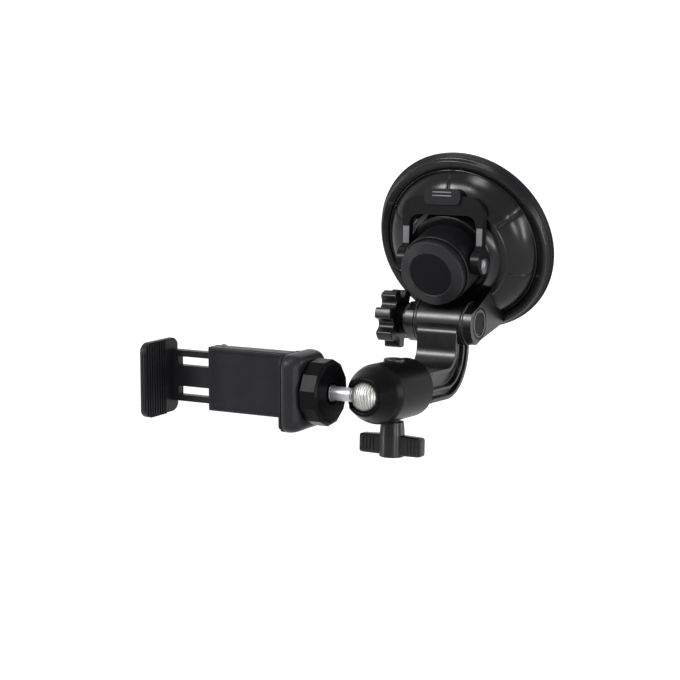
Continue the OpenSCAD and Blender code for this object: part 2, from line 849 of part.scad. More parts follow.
module housing_plug() {
    color([0.12, 0.12, 0.125]) on_clamp() difference() {
        union() {
            translate([0, 0, -housing_r]) cylinder(h = housing_r - bore_r, r = plug_shaft_r);
            difference() {
                translate([0, 0, -housing_r - plug_rise]) cylinder(h = plug_sink + plug_rise, r = plug_r);
                rotate([90, 0, 0]) translate([0, 0, -plug_r - cut])
                    cylinder(h = 2 * plug_r + 2 * cut, r = housing_r);
            }
        }
        translate([-plug_r * 0.6, -rib_h, -housing_r - plug_rise - cut])
            cube([plug_r * 1.2, 2 * rib_h, cut + plug_rise / 2]);
    }
}

module clamp_knob() {
    color([0.075, 0.075, 0.08]) on_clamp() difference() {
        union() {
            translate([0, 0, housing_r + knob_gap])
                cylinder(h = wing_drop - knob_gap + wing_size[2] + hub_foot, r = neck_hub_r);
            translate([0, 0, housing_r + wing_drop]) linear_extrude(wing_size[2]) wing_plan();
        }
        translate([0, 0, housing_r]) cylinder(h = wing_drop + wing_size[2] / 2, r = clamp_r);
    }
}

module wing_plan() {
    rounded([-wing_size[0] / 2, -wing_size[1] / 2], [wing_size[0] / 2, wing_size[1] / 2], wing_corner);
    for (x = [-1, 1]) for (i = [0:wing_ribs - 1])
        translate([x * (wing_size[0] / 2 - wing_rib_set - wing_rib_pitch * i), 0])
            square([wing_rib_w, wing_size[1] + 2 * rib_h], center = true);
}

module clamp_screw() {
    color([0.6, 0.6, 0.62]) on_clamp() {
        translate([0, 0, clamp_r])
            cylinder(h = housing_r + wing_drop + wing_size[2] / 2 - clamp_r, r = clamp_r);
        translate([0, 0, clamp_tip]) cylinder(h = clamp_r - clamp_tip, r1 = clamp_tip, r2 = clamp_r);
    }
}

module ball_seat() {
    color([0.7, 0.65, 0.5]) in_housing() difference() {
        rotate_extrude() polygon([
            [0, -seat_front - seat_len], [clamp_r, -seat_front - seat_len],
            [bore_r - run, -seat_front - seat_len + bore_r - clamp_r],
            [bore_r - run, -seat_front], [0, -seat_front]]);
        sphere(ball_r + run);
    }
}

module ball_stud() {
    color([0.78, 0.78, 0.8]) on_stem() {
        rotate_extrude() polygon(concat(
            [for (a = [-90:5:60]) ball_r * [cos(a), sin(a)]],
            [[stem_collar_r, ball_r * sin(62) ], [stem_r, ball_r + stem_collar_r - stem_r],
                [stem_r, lock_x + lock_recess],
                [thread_r, lock_x + lock_recess], [thread_r, -pad_in - seat_gap],
                [0, -pad_in - seat_gap]]));
    }
}

module lock_nut() {
    color([0.06, 0.06, 0.065]) on_stem() translate([0, 0, lock_x]) difference() {
        rotate([0, 0, lock_turn]) cylinder(h = lock_t, r = lock_r, $fn = 12);
        translate([0, 0, -cut]) cylinder(h = lock_t + 2 * cut, r = thread_r + run);
        translate([0, 0, -cut]) cylinder(h = lock_recess + cut, r = lock_recess_r);
        rotate_extrude() polygon([
            [lock_r * cos(15) - lock_chamfer, 0], [lock_r + cut, -cut], [lock_r + cut, lock_chamfer + cut]]);
    }
}

module nut_washer() {
    color([0.12, 0.12, 0.12]) on_stem() translate([0, 0, lock_x + lock_t]) difference() {
        cylinder(h = lock_washer_t, r = washer_r);
        translate([0, 0, -cut]) cylinder(h = lock_washer_t + 2 * cut, r = thread_r + run);
    }
}

// Clip
module jaw_side(h) {
    rounded([-jaw_front, -h / 2], [clip_back, h / 2], side_corner);
}

// Takes a square corner off to a radius; across and along point out of the corner
module corner_waste(corner, r, across, along) {
    translate([corner[0] - across * r, corner[1] - along * r]) difference() {
        translate([across > 0 ? 0 : -r - cut, along > 0 ? 0 : -r - cut]) square([r + cut, r + cut]);
        circle(r);
    }
}

// The block seen from above: a round outer front edge and a small one at the pad
module fixed_plan() {
    difference() {
        translate([pad_in, -jaw_front]) square([block_t, jaw_front + clip_back]);
        corner_waste([block_out, -jaw_front], front_corner, 1, -1);
        corner_waste([block_out, clip_back], back_corner, 1, 1);
        corner_waste([pad_in, -jaw_front], tip_t, -1, -1);
    }
}

module clip_body() {
    color([0.1, 0.1, 0.105]) at_clip() difference() {
        union() {
            intersection() {
                translate([0, 0, -jaw_h / 2]) linear_extrude(jaw_h) fixed_plan();
                prism_x(pad_in, block_out) jaw_side(jaw_h);
            }
            block([grip_x - tube_len, tube_front, -tube_h / 2], [pad_in, clip_back - cover_t, tube_h / 2]);
        }
        block([grip_x - tube_len - cut, tongue_y - slide, -tongue_h / 2 - slide],
            [grip_x - slide, clip_back, tongue_h / 2 + slide]);
        rotate([0, 90, 0]) translate([0, 0, pad_in - cut]) cylinder(h = block_t + 2 * cut, r = insert_out_r);
        clip_screw_places() cylinder(h = clip_screw_in + cut, r = clip_screw_r);
    }
    color([0.1, 0.1, 0.105]) at_clip() for (z = [-spring_z, spring_z])
        block([spring_post_x, tongue_y - slide - tube_wall / 2, z - spring_slot_w / 2 + slide],
            [spring_post_x + spring_post, clip_back - cover_t, z + spring_slot_w / 2 - slide]);
}

module clip_screw_places() {
    for (x = [grip_x - tube_len + clip_screw_set, grip_x - clip_screw_set]) for (z = [-1, 1])
        translate([x, clip_back - cover_t, z * (tube_h / 2 - tube_wall * 0.8)]) rotate([90, 0, 0]) children();
}

module thread_insert() {
    color([0.75, 0.62, 0.3]) at_clip() rotate([0, 90, 0]) difference() {
        translate([0, 0, block_out - insert_len]) cylinder(h = insert_len, r = insert_out_r);
        translate([0, 0, block_out - block_t - cut]) cylinder(h = block_t + 2 * cut, r = thread_r + run);
    }
}

module ribs_z(width, height) {
    for (i = [0:pad_ribs - 1])
        translate([width * (i + 0.25) / pad_ribs, 0]) square([width * 0.5 / pad_ribs, height]);
}

module jaw_pad() {
    depth = jaw_front + grip_back - pad_margin;
    base = pad_t - rib_h;
    intersection() {
        translate([0, 0, -jaw_h / 2]) linear_extrude(jaw_h) {
            translate([0, -jaw_front]) square([base, depth]);
            translate([base, -jaw_front]) mirror([1, -1]) ribs_z(depth, rib_h);
        }
        prism_x(0, pad_t) jaw_side(jaw_h);
    }
}

module fixed_jaw_pad() {
    color([0.04, 0.04, 0.04]) at_clip() translate([pad_in, 0, 0]) mirror([1, 0, 0]) jaw_pad();
}

module back_pad() {
    color([0.04, 0.04, 0.04]) at_clip() translate([grip_x - tube_len + pad_margin, 0, 0]) {
        translate([0, tube_front - back_pad_t, -tube_h / 2 + pad_margin])
            cube([tube_len - 2 * pad_margin, back_pad_t, tube_h - 2 * pad_margin]);
    }
}

module clip_cover() {
    color([0.1, 0.1, 0.105]) at_clip() difference() {
        block([grip_x - tube_len, clip_back - cover_t, -tube_h / 2], [grip_x, clip_back, tube_h / 2]);
        clip_screw_places() translate([0, 0, -cover_t - cut]) {
            cylinder(h = cover_t + 2 * cut, r = clip_screw_r + run);
            cylinder(h = cover_t / 2 + cut, r = clip_screw_head);
        }
    }
}

module clip_screws() {
    color([0.5, 0.5, 0.52]) at_clip() clip_screw_places() {
        translate([0, 0, -cover_t]) cylinder(h = cover_t / 2, r = clip_screw_head);
        translate([0, 0, -cover_t]) cylinder(h = cover_t + clip_screw_in - run, r = clip_screw_r);
    }
}

module sliding_jaw() {
    color([0.1, 0.1, 0.105]) at_clip() difference() {
        union() {
            intersection() {
                translate([slide_x - pad_t - jaw_wall, 0, -jaw_h / 2]) linear_extrude(jaw_h)
                    rounded([0, -jaw_front], [jaw_wall, clip_back], jaw_wall * 0.4);
                prism_x(slide_x - pad_t - jaw_wall, slide_x - pad_t) jaw_side(jaw_h);
            }
            block([slide_x - pad_t - jaw_wall / 2, tongue_y, -tongue_h / 2],
                [tongue_end, tongue_y + tongue_t, tongue_h / 2]);
        }
        for (z = [-spring_z, spring_z])
            block([slide_x + 2 * tip_t, tongue_y - cut, z - spring_slot_w / 2],
                [spring_seat_x, tongue_y + tongue_t + cut, z + spring_slot_w / 2]);
    }
}

module sliding_jaw_pad() {
    color([0.04, 0.04, 0.04]) at_clip() translate([slide_x - pad_t, 0, 0]) jaw_pad();
}

module clip_springs() {
    color([0.7, 0.7, 0.72]) at_clip() for (z = [-spring_z, spring_z])
        translate([spring_post_x + spring_post + seat_gap, tongue_y + tongue_t / 2, z]) rotate([0, 90, 0])
            coil(spring_size[0], spring_size[1], spring_seat_x - spring_post_x - spring_post - 2 * seat_gap,
                spring_curls);
}

suction_membrane();
membrane_insert();
cup_cover();
hub_tower();
hub_screws();
release_spring();
hub_cap();
hinge_fork();
fork_screws();
hinge_nut();
plunger_stem();
lever_pin();
suction_lever();
lever_grip();
swivel_arm();
barrel_bushings();
thrust_washers();
hinge_knob();
hinge_bolt();
ball_housing();
housing_plug();
grub_screw();
clamp_knob();
clamp_screw();
ball_seat();
ball_stud();
lock_nut();
nut_washer();
clip_body();
thread_insert();
fixed_jaw_pad();
back_pad();
clip_cover();
clip_screws();
sliding_jaw();
sliding_jaw_pad();
clip_springs();
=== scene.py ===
import json
import math
import bpy
import bmesh
from mathutils import Matrix, Vector


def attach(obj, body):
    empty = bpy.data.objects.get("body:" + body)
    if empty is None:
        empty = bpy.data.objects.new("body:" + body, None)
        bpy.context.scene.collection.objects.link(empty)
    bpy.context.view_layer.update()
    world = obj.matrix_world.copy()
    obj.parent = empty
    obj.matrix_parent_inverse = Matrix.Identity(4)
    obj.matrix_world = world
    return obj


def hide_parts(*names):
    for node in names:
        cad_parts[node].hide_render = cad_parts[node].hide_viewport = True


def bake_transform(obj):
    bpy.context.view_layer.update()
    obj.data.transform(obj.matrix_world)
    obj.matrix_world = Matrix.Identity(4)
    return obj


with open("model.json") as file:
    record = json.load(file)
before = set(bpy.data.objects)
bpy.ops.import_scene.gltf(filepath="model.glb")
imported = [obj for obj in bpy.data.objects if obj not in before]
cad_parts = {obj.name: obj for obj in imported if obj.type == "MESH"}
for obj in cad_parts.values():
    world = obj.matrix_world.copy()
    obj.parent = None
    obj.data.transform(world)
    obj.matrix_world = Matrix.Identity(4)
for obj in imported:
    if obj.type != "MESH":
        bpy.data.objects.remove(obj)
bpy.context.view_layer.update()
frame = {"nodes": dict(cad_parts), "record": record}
NODES = frame["nodes"]
MM = 0.001

# Sizes repeated from the model, in millimetres and degrees
CUP_LEAN = 18.0
ARM_PITCH = 2.5
HINGE_DROP, HINGE_H = 28.4, 31.4
BALL_BACK, AXIS_DROP = 79.2, 27.1
CLAMP_BACK = 24.8
PIN_H, LEVER_SLOPE = 27.7, 21.0

LEAN = math.radians(CUP_LEAN)
HINGE_Y = -HINGE_H * math.cos(LEAN) + HINGE_DROP * math.sin(LEAN)
HINGE_Z = -HINGE_H * math.sin(LEAN) - HINGE_DROP * math.cos(LEAN)


def turn(degrees, axis):
    """A rotation about one axis."""
    return Matrix.Rotation(math.radians(degrees), 4, axis)


def move(x, y, z):
    """A shift."""
    return Matrix.Translation((x, y, z))


# Frames in millimetres: the cup's y runs up the cup and its z out from the glass
CUP = turn(90 + CUP_LEAN, "X")
# The lever's y runs along its arms, and the x of hinge and arm is the axis of the barrel
LEVER = CUP @ move(0, 0, PIN_H) @ turn(-LEVER_SLOPE, "X")
HINGE = CUP @ move(0, -HINGE_DROP, HINGE_H)
ARM = move(0, HINGE_Y, HINGE_Z) @ turn(-ARM_PITCH, "X")
# The housing's z points out of its mouth, the clamp's z down its screw and the stem's z to the clip
HOUSING = ARM @ move(0, -BALL_BACK, -AXIS_DROP) @ turn(90, "X")
CLAMP = HOUSING @ move(0, 0, -CLAMP_BACK) @ turn(90, "X")
CLIP = Matrix.Translation(HOUSING.to_translation())
STEM = CLIP @ turn(-90, "Y")

# Camera and stage, in metres, watts and degrees
CAMERA_YAW, CAMERA_DIP = 28.86, 8.28
CAMERA_PLACE = (0.3609, -0.7811, 0.0766)
LENS_MM, SENSOR_MM = 94.4, 36
WORLD_SHOWN, WORLD_LIT, WORLD_LIT_STRENGTH = (1, 1, 1, 1), (0.95, 0.97, 1, 1), 0.2
FLOOR_SHOWN, FLOOR_LIT = (0.82, 0.82, 0.82, 1), (0.6, 0.6, 0.6, 1)
FLOOR_HALF, FLOOR_Z, WALL_Y, WALL_TOP, FLOOR_BEND = 2.4, -0.30, 1.4, 2.2, 0.4
LAMP_AIM = (-0.02, -0.06, -0.03)
# Each lamp's place, size and power
LAMPS = {
    "front_high": ((-0.5, -0.94, 0.56), (0.36, 0.24), 12),
    "front_top": ((-0.13, -1.08, 0.68), (0.34, 0.24), 6),
    "right": ((1.08, -0.27, 0.03), (0.1, 0.5), 5.5),
    "right_low": ((0.95, -0.78, -0.08), (0.2, 0.3), 4),
    "back_right": ((0.98, 0.62, 0.05), (0.12, 0.5), 5),
    "left_low": ((-0.98, -0.72, -0.12), (0.12, 0.3), 3),
    "top": ((0.17, -0.5, 1.02), (0.3, 0.3), 5),
}

# Materials: sizes in mm of the slow colour, gloss and ring noise, and the part of a noise that is used
COLOUR_SIZE, GLOSS_SIZE, WANDER_SIZE = 9.0, 3.0, 2.2
NOISE_LOW, NOISE_HIGH = 0.3, 0.7
# How far turned rings wander, and how much and how dark the painted shade at the bottom of a ring is
RING_WANDER, RING_SHADE_SHARE, RING_PAINTED_SHADE = 5.0, 0.75, 0.25
RING_BOTTOM = (-1.0, -0.2)

# Limits that keep a rounded corner sound: shortest side, flattest corner, largest share of a side
TINY, FLATTEST, SIDE_SHARE = 1e-6, math.radians(88), 0.48

# The dome's foot and top as (radius, height), how far it swells, and the angles of its grooves
DOME_FOOT, DOME_TOP, SWELL = (38.2, 4.8), (27.2, 14.4), 1.5
GROOVES = (-20, 30, 90, 150, 200)


# Objects in the scene
def add_object(name, data):
    """A new object in the scene."""
    thing = bpy.data.objects.new(name, data)
    bpy.context.scene.collection.objects.link(thing)
    return thing


def add_shape(name, bm):
    """A new mesh object from a bmesh, which is freed."""
    mesh = bpy.data.meshes.new(name)
    bm.to_mesh(mesh)
    bm.free()
    return add_object(name, mesh)


def smooth(shape):
    """Lets the shading run on over the faces."""
    for face in shape.data.polygons:
        face.use_smooth = True


def paint(shape, material):
    """Gives a shape one finish, in place of any it has."""
    shape.data.materials.clear()
    shape.data.materials.append(material)


# Materials
def surface(name, colour, rough, grain=0.0, grain_size=0.4, mottle=0.08, rough_mottle=0.025, metal=0.0,
            level=0.5, rings=None):
    """A moulded or machined finish: grain in mm, slow colour and gloss variation, and turned rings with painted shade
    at their bottoms.
    """
    material = bpy.data.materials.new(name)
    material.use_nodes = True
    nodes, links = material.node_tree.nodes, material.node_tree.links
    shader = nodes["Principled BSDF"]
    shader.inputs["Metallic"].default_value = metal
    shader.inputs["Specular IOR Level"].default_value = level
    place = nodes.new("ShaderNodeTexCoord").outputs["Object"]

    def noise(size, detail=3.0):
        node = nodes.new("ShaderNodeTexNoise")
        node.inputs["Scale"].default_value = 1 / (size * MM)
        node.inputs["Detail"].default_value = detail
        links.new(place, node.inputs["Vector"])
        return node.outputs["Fac"]

    def spread(value, low, high, start=NOISE_LOW, stop=NOISE_HIGH):
        node = nodes.new("ShaderNodeMapRange")
        node.inputs["From Min"].default_value = start
        node.inputs["From Max"].default_value = stop
        node.inputs["To Min"].default_value = low
        node.inputs["To Max"].default_value = high
        links.new(value, node.inputs["Value"])
        return node.outputs["Result"]

    def worked_out(operation, *values):
        node = nodes.new("ShaderNodeMath")
        node.operation = operation
        for socket, value in zip(node.inputs, values):
            if isinstance(value, float):
                socket.default_value = value
            else:
                links.new(value, socket)
        return node.outputs[0]

    def raised(height, depth, under):
        node = nodes.new("ShaderNodeBump")
        node.inputs["Strength"].default_value = 1.0
        node.inputs["Distance"].default_value = depth * MM
        links.new(height, node.inputs["Height"])
        if under:
            links.new(under, node.inputs["Normal"])
        return node.outputs["Normal"]

    def shade(factor):
        return tuple(min(1, c * factor) for c in colour) + (1,)

    ramp = nodes.new("ShaderNodeValToRGB")
    dark, pale = ramp.color_ramp.elements
    dark.position, pale.position = NOISE_LOW, NOISE_HIGH
    dark.color, pale.color = shade(1 - mottle), shade(1 + mottle)
    links.new(noise(COLOUR_SIZE), ramp.inputs["Fac"])
    tint = ramp.outputs["Color"]
    links.new(spread(noise(GLOSS_SIZE), rough - rough_mottle, rough + rough_mottle), shader.inputs["Roughness"])
    normal = raised(noise(grain_size, 2.0), grain, None) if grain else None
    if rings:
        pitch, depth, matrix = rings
        inverse = matrix.inverted()
        mapping = nodes.new("ShaderNodeMapping")
        mapping.vector_type = "POINT"
        mapping.inputs["Rotation"].default_value = inverse.to_euler()
        mapping.inputs["Location"].default_value = inverse.to_translation() * MM
        links.new(place, mapping.inputs["Vector"])
        apart = nodes.new("ShaderNodeSeparateXYZ")
        links.new(mapping.outputs["Vector"], apart.inputs["Vector"])
        wave = worked_out("MULTIPLY", apart.outputs["Z"], 2 * math.pi / (pitch * MM))
        sine = worked_out("SINE", worked_out("MULTIPLY_ADD", noise(WANDER_SIZE), RING_WANDER, wave))
        # Painted shade: the colour is darkened towards the bottom of each ring.
        ring_shade = nodes.new("ShaderNodeMix")
        ring_shade.data_type = "RGBA"
        links.new(spread(sine, RING_SHADE_SHARE, 0.0, *RING_BOTTOM), ring_shade.inputs["Factor"])
        links.new(tint, ring_shade.inputs[6])
        ring_shade.inputs[7].default_value = shade(RING_PAINTED_SHADE)
        tint = ring_shade.outputs[2]
        normal = raised(sine, depth, normal)
    links.new(tint, shader.inputs["Base Color"])
    if normal:
        links.new(normal, shader.inputs["Normal"])
    return material


FINISH = {
    "cover_black": surface("cover_black", (0.002, 0.002, 0.0024), 0.23, 0.0006, 0.8, level=0.19),
    "hub_black": surface("hub_black", (0.003, 0.003, 0.0035), 0.38, 0.005, 0.3, level=0.12),
    "arm_black": surface("arm_black", (0.002, 0.002, 0.0024), 0.31, 0.0005, 0.8, level=0.34),
    "lever_black": surface("lever_black", (0.003, 0.003, 0.0035), 0.3, 0.002, 0.4, level=0.1),
    "clip_grey": surface("clip_grey", (0.008, 0.008, 0.009), 0.4, 0.006, 0.35, level=0.13),
    "cup_rubber": surface("cup_rubber", (0.005, 0.005, 0.006), 0.36, 0.003, 0.8, mottle=0.15, level=0.1),
    "pad_rubber": surface("pad_rubber", (0.006, 0.006, 0.007), 0.55, 0.02, 0.3, mottle=0.2, level=0.1),
    "black_steel": surface("black_steel", (0.008, 0.008, 0.009), 0.3, 0.002, 0.4, level=0.2),
    "bright_steel": surface("bright_steel", (0.36, 0.36, 0.37), 0.42, 0.001, 0.3, metal=1.0, rough_mottle=0.03),
    "plain_steel": surface("plain_steel", (0.3, 0.3, 0.31), 0.3, 0.004, 0.3, metal=1.0),
    "insert_brass": surface("insert_brass", (0.62, 0.45, 0.2), 0.3, 0.004, 0.3, metal=1.0, mottle=0.1),
    "bearing_nylon": surface("bearing_nylon", (0.62, 0.6, 0.52), 0.42, 0.008, 0.5, mottle=0.06),
}
# Finishes for single pieces, in place of the one of their slot
CAP_DARK = surface("cap_dark", (0.004, 0.004, 0.005), 0.5, 0.012, 0.3, level=0.06)
CAP_FACET = surface("cap_facet", (0.008, 0.008, 0.009), 0.38, 0.005, 0.3, level=0.16)
# The turned rings carry painted shade: the bottom of each ring is darkened.
BALL_TURNED = surface("ball_turned", (0.28, 0.28, 0.27), 0.45, 0.004, 0.15, metal=1.0, mottle=0.2,
                      rings=(1.15, 0.05, STEM))
RIVET_STEEL = surface("rivet_steel", (0.09, 0.09, 0.095), 0.3, 0.002, 0.3, metal=1.0)
NUT_BLACK = surface("nut_black", (0.002, 0.002, 0.0024), 0.3, 0.002, 0.4, level=0.04)
SHELL_BLACK = surface("shell_black", (0.001, 0.001, 0.0012), 0.34, 0.0005, 0.8, level=0.05)
GRIP_BLACK = surface("grip_black", (0.003, 0.003, 0.0035), 0.3, 0.002, 0.4, level=0.22)
# Light grey that stands in for a painted highlight on the tab's ridges.
RIDGE_PAINTED_HIGHLIGHT = surface("ridge_painted_highlight", (0.12, 0.12, 0.125), 0.35, 0.002, 0.3, level=0.3)
# Light grey that stands in for painted highlights on facets and on the ear's ring.
PAINTED_HIGHLIGHT_GREY = surface("painted_highlight_grey", (0.09, 0.09, 0.095), 0.3, 0.002, 0.4, level=0.4)

# Every model node starts with the finish of its slot
for part in frame["record"]["subparts"]:
    paint(NODES[part["node"]], FINISH[part["material_slot"]])


# Shapes
def fillet(points, radii, steps=5):
    """Rounds the corners of a closed outline; radii is one number, or one for each point."""
    out = []
    count = len(points)
    for i, point in enumerate(points):
        r = radii if isinstance(radii, (int, float)) else radii[i]
        a, b, c = Vector(points[i - 1]), Vector(point), Vector(points[(i + 1) % count])
        u, v = a - b, c - b
        if r <= 0 or u.length < TINY or v.length < TINY or u.angle(v) / 2 > FLATTEST:
            out.append(tuple(b))
            continue
        half = u.angle(v) / 2
        reach = min(r / math.tan(half), SIDE_SHARE * u.length, SIDE_SHARE * v.length)
        r = reach * math.tan(half)
        u.normalize()
        v.normalize()
        centre = b + (u + v).normalized() * (r / math.sin(half))
        start, stop = b + u * reach - centre, b + v * reach - centre
        a0 = math.atan2(start.y, start.x)
        swing = (math.atan2(stop.y, stop.x) - a0 + math.pi) % (2 * math.pi) - math.pi
        for k in range(steps + 1):
            a1 = a0 + swing * k / steps
            out.append((centre.x + r * math.cos(a1), centre.y + r * math.sin(a1)))
    return out


def arc(cx, cy, r, start, stop, steps):
    """Points on an arc, in degrees, both ends included."""
    turns = [math.radians(start + (stop - start) * k / steps) for k in range(steps + 1)]
    return [(cx + r * math.cos(t), cy + r * math.sin(t)) for t in turns]


def polygon(count, r, turned=0.0):
    """The corners of a regular polygon, the first at the angle turned."""
    angles = [math.radians(turned + 360 * k / count) for k in range(count)]
    return [(r * math.cos(a), r * math.sin(a)) for a in angles]


def disc_top(line, shares=(0.66, 0.33)):
    """Closes a turned line at the axis with rings of ever smaller radius, so that its face stays even."""
    r, h = line[-1]
    return line + [(r * share, h) for share in shares] + [(0, h)]


def round_place(angle, index, r, z):
    """Where a lathe puts a point: on a circle round local z."""
    return r * math.cos(math.radians(angle)), r * math.sin(math.radians(angle)), z


def lathe(bm, line, columns=160, closed=True, place=round_place):
    """Turns a line of (radius, height) about local z. place(column angle, index, radius, height) may move a point."""
    angles = columns if isinstance(columns, list) else [360 * k / columns for k in range(columns)]
    rings = []
    for index, (r, z) in enumerate(line):
        spots = [(0, 0, z)] if r < TINY else [place(a, index, r, z) for a in angles]
        rings.append([bm.verts.new(spot) for spot in spots])
    pairs = list(zip(rings, rings[1:]))
    if closed and len(rings[0]) > 1:
        pairs.append((rings[-1], rings[0]))
    count = len(angles)
    for below, above in pairs:
        if len(below) == 1 and len(above) == 1:
            continue
        for k in range(count):
            n = (k + 1) % count
            if len(below) == 1:
                bm.faces.new((below[0], above[n], above[k]))
            elif len(above) == 1:
                bm.faces.new((below[k], below[n], above[0]))
            else:
                bm.faces.new((below[k], below[n], above[n], above[k]))


def prism(bm, outline, low, high, axis="z"):
    """Pushes a closed outline from low to high along z, or along x where the outline is (y, z)."""
    def spot(p, h):
        return (h, p[0], p[1]) if axis == "x" else (p[0], p[1], h)
    bottom = [bm.verts.new(spot(p, low)) for p in outline]
    top = [bm.verts.new(spot(p, high)) for p in outline]
    bm.faces.new(bottom[::-1])
    bm.faces.new(top)
    for k in range(len(outline)):
        n = (k + 1) % len(outline)
        bm.faces.new((bottom[k], bottom[n], top[n], top[k]))


def box(bm, low, high):
    """A block between two opposite corners."""
    prism(bm, [(low[0], low[1]), (high[0], low[1]), (high[0], high[1]), (low[0], high[1])], low[2], high[2])


def loft(bm, sections, closed_ends=True):
    """Joins closed sections, each a list of the same number of 3-D points."""
    rows = [[bm.verts.new(p) for p in section] for section in sections]
    count = len(rows[0])
    for a, b in zip(rows, rows[1:]):
        for k in range(count):
            n = (k + 1) % count
            bm.faces.new((a[k], a[n], b[n], b[k]))
    if closed_ends:
        bm.faces.new(rows[0][::-1])
        bm.faces.new(rows[-1])


def finish_shape(shape, bevel=0.0, segments=2, angle=32, flat=True):
    """Smooth faces, rounded edges and flat faces that stay flat."""
    smooth(shape)
    if bevel:
        edge = shape.modifiers.new("edges", "BEVEL")
        edge.limit_method = "ANGLE"
        edge.angle_limit = math.radians(angle)
        edge.width = bevel * MM
        edge.segments = segments
        edge.miter_outer = "MITER_ARC"
        edge.use_clamp_overlap = True
    if flat:
        weights = shape.modifiers.new("flats", "WEIGHTED_NORMAL")
        weights.keep_sharp = True
        weights.weight = 60


def to_world(bm, matrix):
    """Takes a form from millimetres in a local frame to metres in the world, with its faces outwards."""
    bmesh.ops.recalc_face_normals(bm, faces=bm.faces)
    bm.transform(Matrix.Scale(MM, 4) @ matrix)


def dress(name, bm, matrix, body, finish, replaced=(), bevel=0.0, segments=2, angle=32, flat=True):
    """A finished piece, made in millimetres in a local frame, that rides on a body and stands for model nodes."""
    to_world(bm, matrix)
    shape = add_shape(name, bm)
    shape.data.materials.append(FINISH[finish])
    finish_shape(shape, bevel, segments, angle, flat)
    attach(shape, body)
    if replaced:
        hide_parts(*replaced)
    return shape


def cut_away(shape, cutter_bm, matrix):
    """Cuts a closed form out of a piece for good, before its edges are rounded."""
    to_world(cutter_bm, matrix)
    cutter = add_shape("cutter", cutter_bm)
    tool = shape.modifiers.new("cut", "BOOLEAN")
    tool.operation = "DIFFERENCE"
    tool.solver = "EXACT"
    tool.object = cutter
    bpy.context.view_layer.objects.active = shape
    while shape.modifiers[0] != tool:
        bpy.ops.object.modifier_move_up(modifier=tool.name)
    bpy.ops.object.modifier_apply(modifier=tool.name)
    bpy.data.objects.remove(cutter)
    smooth(shape)


# Suction cup
def cup_membrane():
    """The rubber disc: shallow rings below, fine steps at the rim and a collar round the plunger."""
    line = [(0, 0.3), (9.5, 0.3), (10.5, 0.22), (11.5, 0.0)]
    for r in (20, 28, 34, 38.5, 41.5):
        line += [(r - 0.5, 0.0), (r - 0.2, 0.16), (r + 0.2, 0.16), (r + 0.5, 0.0)]
    line += [(44.9, 0), (45.3, 0.15), (45.4, 0.45), (45.2, 0.8), (44.7, 0.95), (44.55, 1.1)]
    for k in range(3):
        h = 1.1 + 0.45 * k
        line += [(44.5, h + 0.06), (44.55, h + 0.18), (44.5, h + 0.3), (44.3, h + 0.36), (44.25, h + 0.42)]
    line += [(44.1, 2.55), (43.8, 2.6), (39.7, 2.6), (38.8, 1.8), (13.5, 1.8), (13.4, 5), (10.9, 5), (10.9, 1.4),
             (0, 1.4)]
    bm = bmesh.new()
    lathe(bm, line, 200, closed=False)
    dress("membrane_rubber", bm, CUP, "base", "cup_rubber", ["suction_membrane"])


def dome_line(inset, steps=22):
    """The dome's outline from foot to top, moved inwards by the inset."""
    along = Vector(DOME_TOP) - Vector(DOME_FOOT)
    out = Vector((along.y, -along.x)).normalized()
    return [tuple(Vector(DOME_FOOT) + along * (k / steps)
                  + out * (SWELL * math.sin(math.pi * k / steps) - inset)) for k in range(steps + 1)]


def cup_cover():
    """The cover: a flat ring with fine steps, a dome with radial grooves, an edge line, a shoulder and a ledge."""
    half, depth, wall, clear = 0.42, 0.62, 2.4, 2.4
    line = [(44.0, 2.62), (44.02, 2.95), (43.85, 3.05), (43.85, 3.2), (44.0, 3.3), (44.0, 3.6), (43.8, 3.75),
            (43.55, 3.85), (43.5, 3.98), (43.6, 4.1), (43.55, 4.4), (43.3, 4.6), (43.2, 4.72), (43.2, 4.9),
            (43.1, 5.2), (42.85, 5.5), (42.5, 5.66), (42.2, 5.7), (39.6, 5.7), (39.2, 5.62), (38.95, 5.3),
            (38.75, 4.95), (38.5, 4.82)]
    ring_end = len(line)
    line += dome_line(0)
    dome_end = len(line)
    line += [(27.05, 14.6), (26.9, 14.85), (26.6, 14.95), (24.0, 15.25), (23.3, 15.4), (23.05, 15.6), (21.3, 18.9),
             (21.05, 19.35), (20.75, 19.95), (20.4, 20.15), (20.0, 20.2), (8.15, 20.2)]
    line += [(8.15, 17.8), (18.2, 17.8), (20.8, 13.0), (24.8, 12.96)] + dome_line(wall)[::-1] + [(38.2, 2.62)]
    # Each column is its angle, a shift along the circle in mm and its share of the groove's depth
    columns = [(k, 0.0, 0) for k in range(0, 360, 2) if all(abs((k - g + 180) % 360 - 180) > clear for g in GROOVES)]
    for g in GROOVES:
        for side in (-1, 1):
            columns += [(g, side * (half + 0.3), 0), (g, side * (half + 0.08), 0.12), (g, side * half * 0.75, 1)]
        columns += [(g, 0.0, 1)]
    columns.sort(key=lambda c: (c[0] % 360) * 1000 + c[1] * 10)

    def place(index, i, r, z):
        angle, offset, deep = columns[index]
        a = math.radians(angle) + offset / max(r, 12)
        if deep and ring_end - 5 <= i < dome_end:
            share = 0.7 if i < ring_end else 1.0
            before, after = Vector(line[i - 1]), Vector(line[min(i + 1, dome_end)])
            along = (after - before).normalized()
            r, z = Vector((r, z)) + Vector((-along.y, along.x)) * (depth * share * deep)
        return r * math.cos(a), r * math.sin(a), z
    bm = bmesh.new()
    lathe(bm, line, list(range(len(columns))), place=place)
    dress("cover_shell", bm, CUP, "base", "cover_black", ["cup_cover"], flat=False)


